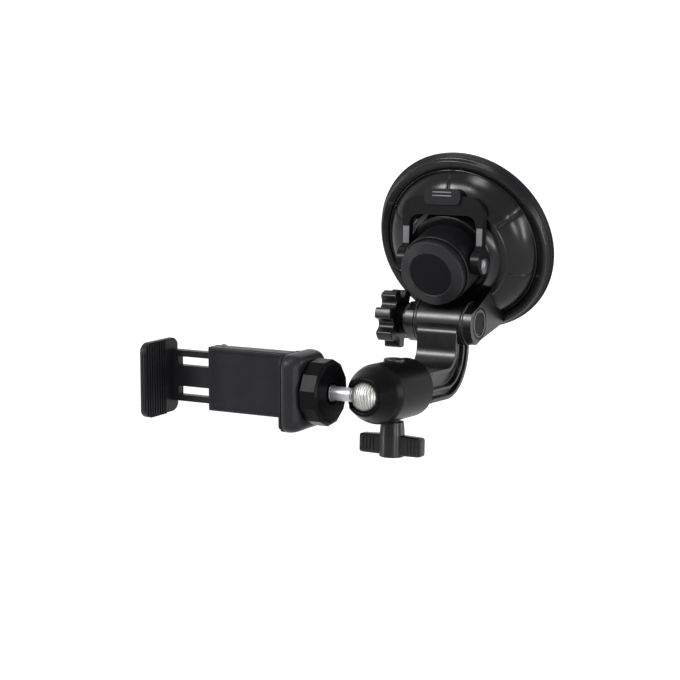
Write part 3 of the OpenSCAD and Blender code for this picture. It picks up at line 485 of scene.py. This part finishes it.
def hub():
    """The cap's pale ring and dark disc, and the rim line below them."""
    bm = bmesh.new()
    bevelled = fillet([(15.8, 35.2), (15.8, 40.1), (10.9, 41.5), (10.55, 41.1), (10.0, 41.1)],
                      [0, 0.4, 0.25, 0.15, 0], 5)
    lathe(bm, [(12.7, 33.5), (12.7, 35.2)] + bevelled + [(10.0, 33.5)], 200)
    paint(dress("cap_ring", bm, CUP, "base", "hub_black", ["hub_cap"]), CAP_FACET)
    bm = bmesh.new()
    lathe(bm, disc_top([(10.52, 38.0), (10.52, 41.0), (10.4, 41.16)]) + [(0, 38.0)], 200, closed=False)
    paint(dress("cap_disc", bm, CUP, "base", "hub_black"), CAP_DARK)
    bm = bmesh.new()
    lathe(bm, [(15.9, 35.2), (15.9, 35.75), (16.2, 35.95), (16.65, 35.75), (16.85, 35.3), (16.9, 34.8), (16.9, 33.9),
               (15.9, 33.9)], 200)
    dress("hub_rim", bm, CUP, "base", "hub_black")


# Hinge
def knob():
    """Seven blunt lobes with round tips and valleys, a socket in the outer face and a ridged neck."""
    lobes, reach, waist, half = 7, 14.2, 9.9, 2.75
    across, valley = math.asin(half / reach), math.radians(10.2)
    outline, radii = [], []
    for k in range(lobes):
        middle = math.radians(166 + 360 * k / lobes)
        for r, a, soft in ((reach - 0.02, -across, 1.25), (reach, 0, 0), (reach - 0.02, across, 1.25),
                           (waist, math.pi / lobes - valley, 2.6), (waist, math.pi / lobes + valley, 2.6)):
            outline.append((r * math.cos(middle + a), r * math.sin(middle + a)))
            radii.append(soft)
    bm = bmesh.new()
    prism(bm, fillet(outline, radii, 6), -31.65, -23.45, "x")
    star = dress("knob_star", bm, ARM, "hinge_knob", "hub_black", ["hinge_knob"], bevel=0.9, segments=5, angle=50)
    socket = bmesh.new()
    prism(socket, polygon(6, 4.85), -33, -29.05, "x")
    cut_away(star, socket, ARM)
    paint(star, GRIP_BLACK)
    bm = bmesh.new()
    line = [(3.1, -19.8)]
    for k in range(3):
        h = -19.85 - 1.18 * k
        line += [(6.7, h), (7.35, h - 0.16), (7.5, h - 0.45), (7.35, h - 0.76), (6.7, h - 0.92), (6.6, h - 1.05)]
    line += [(7.2, -23.46), (3.1, -23.46)]
    lathe(bm, line, 128)
    bm.transform(turn(90, "Y"))
    paint(dress("knob_neck", bm, ARM, "hinge_knob", "hub_black"), NUT_BLACK)


def ear_ring():
    """A dark groove and a thin raised ring round the nut in the ear; the ring is painted light grey as a painted
    highlight.
    """
    for name, line, finish in (
            ("ear_groove", [(5.6, 16.7), (5.6, 16.85), (6.8, 16.9), (6.9, 17.2), (7.6, 17.2), (7.7, 17.1), (7.7, 16.7)],
             NUT_BLACK),
            # The raised ring is painted light grey: a painted highlight on its edge.
            ("ear_rim", [(5.9, 16.6), (5.9, 17.0), (6.0, 17.2), (6.2, 17.28), (6.4, 17.2), (6.5, 17.0), (6.5, 16.6)],
             PAINTED_HIGHLIGHT_GREY)):
        bm = bmesh.new()
        lathe(bm, line, 96)
        bm.transform(turn(90, "Y"))
        paint(dress(name, bm, HINGE, "base", "black_steel"), finish)


def lever_trim():
    """Two thin ridges on the tab and thin plates on the arms' facets, both painted light grey as painted highlights."""
    bm = bmesh.new()
    for y in (31.79, 33.42):
        section = arc(y, 3.12, 0.36, 0, 180, 8)
        prism(bm, section + [(y - 0.36, 2.8), (y + 0.36, 2.8)], -4.8, 4.8, "x")
    # The ridges are painted light grey: a painted highlight along their tops.
    paint(dress("tab_ridges", bm, LEVER, "lever", "lever_black", flat=False), RIDGE_PAINTED_HIGHLIGHT)
    bm = bmesh.new()
    for side in (-1, 1):
        corners = [(side * 17.5, 1.21), (side * 20.5, 1.525), (side * 20.5, 1.3), (side * 17.5, 1.0)]
        loft(bm, [[(x, y, z) for x, z in corners] for y in (8.95, 17.1)])
    # The plates are painted light grey: a painted highlight on the arms' facets.
    paint(dress("lever_facet_highlights", bm, LEVER, "lever", "lever_black"), PAINTED_HIGHLIGHT_GREY)


def arm():
    """The column and foot are one ribbed channel swept round the bend; the barrel is turned."""
    front, drop, bend, thick, half, deep, flange = -10.9, 19.8, 8.0, 14.6, 10.4, 2.6, 1.8
    rib_low, rib_high = thick * 0.62 - 0.65, thick * 0.62 + 0.65
    right = [(half, 0), (half, flange), (half - deep, flange + 0.5), (half - deep, rib_low - 0.4), (half, rib_low),
             (half, rib_high), (half - deep, rib_high + 0.4), (half - deep, thick - flange - 0.5),
             (half, thick - flange), (half, thick)]
    section = right + [(-x, t) for x, t in right[::-1]]
    section = fillet(section, [0.5 if abs(x) > 9 else 0.7 for x, t in section], 4)
    cy, cz = front - bend, -drop + bend
    rows = [[(x, front + t, z) for x, t in section] for z in (0.0, -5.0)]
    for k in range(25):
        a = math.radians(-90 * k / 24)
        rows.append([(x, cy + (bend + t) * math.cos(a), cz + (bend + t) * math.sin(a)) for x, t in section])
    rows += [[(x, y, -drop - t) for x, t in section] for y in (-24.0, -34.0, -40.45)]
    bm = bmesh.new()
    loft(bm, rows)
    dress("arm_channel", bm, ARM, "arm", "arm_black", ["swivel_arm"])
    bm = bmesh.new()
    end = [(4.2, 13), (9.9, 13), (10.35, 12.8), (10.5, 12.4), (10.5, 11.4), (10.35, 11.3), (10.35, 11.1), (10.5, 11.0)]
    lathe(bm, [(r, -h) for r, h in end] + end[::-1], 160)
    bm.transform(turn(90, "Y"))
    dress("arm_barrel", bm, ARM, "arm", "arm_black")
    bm = bmesh.new()
    lathe(bm, [(0, 38.0), (7.2, 38.0), (7.2, 29.7), (0, 29.7)], 64, closed=False)
    bm.transform(turn(180, "X"))
    dress("arm_spigot", bm, HOUSING, "arm", "arm_black")


# Ball joint
def housing():
    """A turned shell with a rolled lip, a softly tapered nose, and a slot in the side for the stem."""
    outer = fillet([(7.4, -38.7), (13.6, -38.7), (13.6, -8.6), (12.5, -4.6), (9.25, 2.7), (8.6, 4.0), (7.4, 4.25),
                    (6.4, 3.3), (6.4, 0.5)], [0, 0.7, 9, 9, 1.4, 1.2, 1.0, 0.6, 0], 8)
    line = outer[1:-1] + [(6.4, 3.0), (6.42, 2.4), (7.25, 0.6), (7.32, -1.5), (7.32, -38.7)]
    bm = bmesh.new()
    lathe(bm, line, 192)
    shell = dress("housing_shell", bm, HOUSING, "arm", "arm_black", ["ball_housing"], bevel=0.5, segments=4, angle=45)
    slot, half = bmesh.new(), 5.3
    prism(slot, arc(0, 0, half, 180, 360, 30) + [(half, 8), (-half, 8)], -16, 0, "x")
    cut_away(shell, slot, HOUSING)
    paint(shell, SHELL_BLACK)


def plug():
    """A low round button with a screwdriver slot, in the top of the shell."""
    line = [(4.7, -11.5), (4.7, -13.9), (4.6, -14.2), (4.35, -14.42), (3.9, -14.55), (2.6, -14.6), (1.3, -14.6)]
    bm = bmesh.new()
    lathe(bm, [(0, -11.5)] + line + [(0, -14.6)], 96, closed=False)
    button = dress("plug_button", bm, CLAMP, "arm", "arm_black", ["housing_plug"])
    slot = bmesh.new()
    box(slot, (-2.8, -0.45, -16), (2.8, 0.45, -14.1))
    cut_away(button, slot, CLAMP)


def stud():
    """Turned ball and smooth stem, with the thread that the nut covers."""
    bm = bmesh.new()
    lathe(bm, [(0, -7.18)] + arc(0, 0, 7.18, -88, 60, 74) + [(0, 6.2)], 128, closed=False)
    paint(dress("ball_turned", bm, STEM, "stud", "bright_steel", ["ball_stud"], flat=False), BALL_TURNED)
    bm = bmesh.new()
    line = [(3.62, 6.2), (3.6, 6.5), (3.35, 6.75), (3.15, 7.3), (3.1, 8.0), (3.1, 17.0), (3.1, 19.4), (2.75, 19.7)]
    for k in range(11):
        h = 19.9 + 1.27 * k
        line += [(2.8, h), (3.14, h + 0.5), (3.14, h + 0.7), (2.8, h + 1.2)]
    lathe(bm, [(0, 6.2)] + line + [(2.75, 34.2), (0, 34.35)], 96, closed=False)
    dress("stem_smooth", bm, STEM, "stud", "bright_steel", flat=False)
    bm = bmesh.new()
    lathe(bm, [(3.05, 16.9), (3.5, 16.95), (3.75, 17.2), (3.8, 17.6), (3.8, 19.3), (3.05, 19.3)], 96)
    paint(dress("stem_collar", bm, STEM, "stud", "bright_steel"), RIVET_STEEL)


def lock_nut():
    """Twelve flats with a cone at the front edge, and a counterbore round the stem."""
    flats, turned, face, back = 12, 9.0, 17.6, 26.3
    rows = []
    for r, h in ((5.2, face + 1.8), (5.2, face + 0.3), (5.5, face), (13.6, face), (15.0, face + 0.9),
                 (15.0, back - 0.5), (14.5, back), (3.2, back), (3.2, face + 1.8)):
        rows.append([(x, y, h) for x, y in polygon(flats, r, turned)])
    bm = bmesh.new()
    loft(bm, rows + [rows[0]], closed_ends=False)
    bmesh.ops.remove_doubles(bm, verts=bm.verts, dist=0.0005)
    paint(dress("lock_nut_faceted", bm, STEM, "lock_nut", "hub_black", ["lock_nut"], bevel=0.3, angle=20), NUT_BLACK)


# Clamp knob
def clamp_knob():
    """A neck that widens downwards, with two flat wings that taper at the tips and have four ribs on each face."""
    bm = bmesh.new()
    line = fillet([(3.2, 13.95), (5.2, 13.95), (5.45, 16.0), (5.75, 20.0), (5.75, 30.15), (3.2, 30.15)],
                  [0, 0.5, 1, 2, 0.7, 0], 5)
    lathe(bm, line + [(0, 30.15), (0, 13.95)], 96, closed=False)
    low, high, reach, wall, rib_top, rib_gap = 19.75, 29.25, 15.65, 2.3, 2.85, 1.75
    middle = (low + high) / 2
    for side in (-1, 1):
        outline = fillet([(side * 3.0, low), (side * 6.4, low + 0.25), (side * 13.9, low + 0.55),
                          (side * reach, low + 0.9), (side * reach, high - 0.5), (side * 13.9, high - 0.15),
                          (side * 3.0, high)], [0, 0.6, 1.0, 1.1, 1.1, 1.0, 0], 4)
        sections = []
        for y, inset in ((-2.4, 0.7), (-2.25, 0.3), (-1.8, 0.0), (1.8, 0.0), (2.25, 0.3), (2.4, 0.7)):
            sections.append([(x - side * inset * max(0.0, min(1.0, (abs(x) - 12) / 3)), y,
                              z + (inset if z < middle else -inset)) for x, z in outline])
        loft(bm, sections)
        for k in range(4):
            x = side * (reach - 1.9 - rib_gap * k)
            rib = [(x - 0.5, wall), (x - 0.3, rib_top), (x + 0.3, rib_top), (x + 0.5, wall)]
            for face in (-1, 1):
                loft(bm, [[(px, face * (wall + (py - wall) * lift), z) for px, py in rib]
                          for z, lift in ((low + 1.5, 0.2), (low + 1.8, 1.0), (high - 1.4, 1.0), (high - 1.1, 0.2))])
    paint(dress("clamp_tee", bm, CLAMP, "clamp_knob", "hub_black", ["clamp_knob"], bevel=0.2, angle=40), GRIP_BLACK)


# Clip
def soft_block():
    """The fixed jaw: a pillow-like block with wide round edges towards the nut, and its tube behind."""
    # Each station is its x, how far it is round the soft edge, and the bevel at the phone's side
    stations = [(-34.98, 0.0, 0.55), (-34.85, 0.0, 0.25), (-34.5, 0.0, 0.0)]
    stations += [(-32.9 + 5.8 * math.sin(a), 1 - math.cos(a), 0.0) for a in [math.radians(9 * k) for k in range(11)]]
    rows = []
    for x, soft, cut in stations:
        front, top, rear = -15.9 + 5.4 * soft + cut, 17.5 - 3.0 * soft - cut, 13.2 - 3.4 * soft - cut
        section = fillet([(front, -top), (rear, -top), (rear, top), (front, top)], 5.4 - 1.6 * soft, 8)
        rows.append([(x, y, z) for y, z in section])
    bm = bmesh.new()
    loft(bm, rows)
    dress("jaw_block", bm, CLIP, "clip", "clip_grey", ["clip_body"], flat=False)
    bm = bmesh.new()
    section = fillet([(5.3, -15), (11.7, -15), (11.7, -12.2), (6.9, -12.2), (6.9, 12.2), (11.7, 12.2), (11.7, 15),
                      (5.3, 15)], [0.9, 0.2, 0.2, 0.4, 0.4, 0.2, 0.2, 0.9], 4)
    prism(bm, section, -86.3, -34.9, "x")
    dress("jaw_tube", bm, CLIP, "clip", "clip_grey", bevel=0.2, angle=50)


def screw_cross_shade():
    """A near-black cross of thin boxes on each small screw on the clip's back: painted shade where the driver's recess
    would be.
    """
    half_long, half_wide, under = 1.15, 0.24, 13.1
    bm = bmesh.new()
    for x in (-82.3, -40.3):
        for z in (-13.72, 13.72):
            box(bm, (x - half_long, under, z - half_wide), (x + half_long, 13.22, z + half_wide))
            box(bm, (x - half_wide, under, z - half_long), (x + half_wide, 13.23, z + half_long))
    # The crosses are painted near-black: painted shade in place of a recess.
    paint(dress("screw_cross_shade", bm, CLIP, "clip", "plain_steel"), NUT_BLACK)


def jaw_springs():
    """The clip's two springs as the model has them, held at the tube's posts; the copy stays where it is and does not
    follow the sliding jaw.
    """
    rest = NODES["clip_springs"]
    mesh = rest.data.copy()
    mesh.transform(rest.matrix_world)
    shape = add_object("jaw_springs", mesh)
    finish_shape(shape)
    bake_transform(shape)
    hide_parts("clip_springs")


# Camera, world, floor and lamps
def set_camera():
    """The camera that was fitted to the photograph."""
    yaw, dip = math.radians(CAMERA_YAW), math.radians(CAMERA_DIP)
    ahead = Vector((-math.sin(yaw) * math.cos(dip), math.cos(yaw) * math.cos(dip), -math.sin(dip)))
    right = Vector((math.cos(yaw), math.sin(yaw), 0))
    axes = Matrix((right, right.cross(ahead), -ahead)).transposed().to_4x4()
    data = bpy.data.cameras.new("camera")
    data.lens = LENS_MM
    data.sensor_width = SENSOR_MM
    camera = add_object("camera", data)
    camera.matrix_world = Matrix.Translation(CAMERA_PLACE) @ axes
    bpy.context.scene.camera = camera


def shown_to_lens(nodes, links):
    """One for camera, glossy and transmission rays, and zero for the rest."""
    path = nodes.new("ShaderNodeLightPath")
    total = path.outputs["Is Camera Ray"]
    for name in ("Is Glossy Ray", "Is Transmission Ray"):
        most = nodes.new("ShaderNodeMath")
        most.operation = "MAXIMUM"
        links.new(total, most.inputs[0])
        links.new(path.outputs[name], most.inputs[1])
        total = most.outputs[0]
    return total


def set_world():
    """White as the lens and the reflections see it, and weak as a light on the object."""
    world = bpy.data.worlds.new("studio")
    world.use_nodes = True
    nodes, links = world.node_tree.nodes, world.node_tree.links
    nodes.clear()
    mix = nodes.new("ShaderNodeMixShader")
    links.new(shown_to_lens(nodes, links), mix.inputs["Fac"])
    for socket, colour, strength in ((1, WORLD_LIT, WORLD_LIT_STRENGTH), (2, WORLD_SHOWN, 1.0)):
        plain = nodes.new("ShaderNodeBackground")
        plain.inputs["Color"].default_value = colour
        plain.inputs["Strength"].default_value = strength
        links.new(plain.outputs[0], mix.inputs[socket])
    links.new(mix.outputs[0], nodes.new("ShaderNodeOutputWorld").inputs["Surface"])
    bpy.context.scene.world = world
    bpy.context.scene.view_settings.view_transform = "Standard"


def set_floor():
    """A pale floor well below the part that bends up into a pale wall behind it."""
    bm = bmesh.new()
    line = [(-FLOOR_HALF, FLOOR_Z)]
    line += arc(WALL_Y - FLOOR_BEND, FLOOR_Z + FLOOR_BEND, FLOOR_BEND, -90, 0, 10) + [(WALL_Y, WALL_TOP)]
    rows = [[bm.verts.new((x, y, z)) for x in (-FLOOR_HALF, FLOOR_HALF)] for y, z in line]
    for a, b in zip(rows, rows[1:]):
        bm.faces.new((a[0], a[1], b[1], b[0]))
    floor = add_shape("floor", bm)
    smooth(floor)
    material = bpy.data.materials.new("floor_white")
    material.use_nodes = True
    nodes, links = material.node_tree.nodes, material.node_tree.links
    nodes.clear()
    plain = nodes.new("ShaderNodeBsdfDiffuse")
    plain.inputs["Color"].default_value = FLOOR_LIT
    glow = nodes.new("ShaderNodeEmission")
    glow.inputs["Color"].default_value = FLOOR_SHOWN
    links.new(shown_to_lens(nodes, links), glow.inputs["Strength"])
    both = nodes.new("ShaderNodeAddShader")
    links.new(plain.outputs[0], both.inputs[0])
    links.new(glow.outputs[0], both.inputs[1])
    links.new(both.outputs[0], nodes.new("ShaderNodeOutputMaterial").inputs["Surface"])
    floor.data.materials.append(material)


def set_lamps():
    """Seven rectangular lamps that face the object."""
    for name, (place, size, power) in LAMPS.items():
        data = bpy.data.lights.new(name, "AREA")
        data.shape = "RECTANGLE"
        data.size, data.size_y = size
        data.energy = power
        aim = (Vector(LAMP_AIM) - Vector(place)).to_track_quat("-Z", "Y").to_matrix().to_4x4()
        add_object(name, data).matrix_world = Matrix.Translation(place) @ aim


# Edges of the model nodes that are shown as they are: the width in mm, the steps, the least angle and the nodes
EDGES = (
    (0.3, 3, 32, ("hub_tower",)),
    (0.4, 3, 30, ("suction_lever",)),
    (0.3, 2, 30, ("lever_grip",)),
    (0.0, 2, 30, ("lever_pin",)),
    (0.45, 3, 30, ("hinge_fork",)),
    (0.35, 2, 30, ("clip_cover", "sliding_jaw")),
    (0.15, 2, 30, ("fixed_jaw_pad", "sliding_jaw_pad", "back_pad")),
    (0.12, 1, 30, ("hinge_nut", "thrust_washers", "hinge_bolt", "clamp_screw", "nut_washer", "thread_insert",
                   "grub_screw", "clip_screws", "ball_seat", "plunger_stem", "membrane_insert")),
)
for width, steps, least, names in EDGES:
    for name in names:
        finish_shape(NODES[name], width, steps, least)
paint(NODES["lever_pin"], RIVET_STEEL)
paint(NODES["hinge_bolt"], NUT_BLACK)
paint(NODES["hinge_nut"], NUT_BLACK)
paint(NODES["clamp_screw"], FINISH["black_steel"])

cup_membrane()
cup_cover()
hub()
knob()
ear_ring()
lever_trim()
arm()
housing()
plug()
screw_cross_shade()
jaw_springs()
stud()
lock_nut()
clamp_knob()
soft_block()

set_camera()
set_world()
set_floor()
set_lamps()
